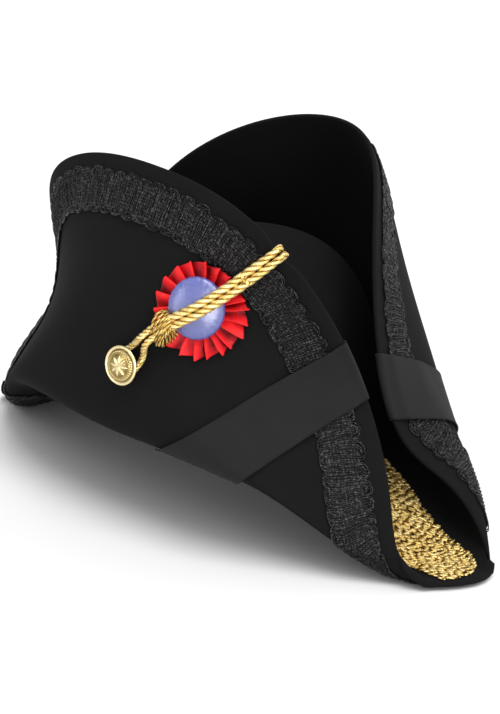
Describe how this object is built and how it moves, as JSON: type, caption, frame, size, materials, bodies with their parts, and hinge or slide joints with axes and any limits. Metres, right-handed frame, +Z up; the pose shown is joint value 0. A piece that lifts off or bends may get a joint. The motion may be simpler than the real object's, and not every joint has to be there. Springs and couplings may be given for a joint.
{
  "type": "bicorne hat",
  "caption": "Cocked bicorne hat of black felt with drooping horns, braided rim, horn ribbons, gold horn patches and a pleated cockade held by a cord loop and button.",
  "frame": {"origin": "middle of the bottom of the whole hat, on the surface that the two horn ends rest on", "axes": "+Z up, +X along the hat toward the horn on the cockade's side, -Y toward the front flap with the cockade"},
  "size_m": [0.4004, 0.2302, 0.2187],
  "materials": {
    "felt": "matte black wool felt with a faint nap",
    "braid": "black looped gimp braid with a dull silky shine",
    "ribbon": "black corded ribbon, matte with fine cross ribs",
    "gold_patch": "gold metallic thread, chunky stitched texture",
    "red_satin": "red satin ribbon in knife pleats",
    "blue_satin": "blue satin over a padded button form",
    "button": "polished gilt brass, worn on the relief",
    "gold_cord": "twisted gold metallic cord"
  },
  "bodies": {
    "root": {"felt_body": "felt", "rim_braid": "braid", "ribbon_front_right": "ribbon", "ribbon_back_right": "ribbon", "horn_patch_right": "gold_patch", "horn_patch_left": "gold_patch", "cockade_pleats": "red_satin", "cockade_centre": "blue_satin", "cockade_button": "button", "cord_loop": "gold_cord", "cord_knot": "gold_cord"}
  },
  "joints": []
}
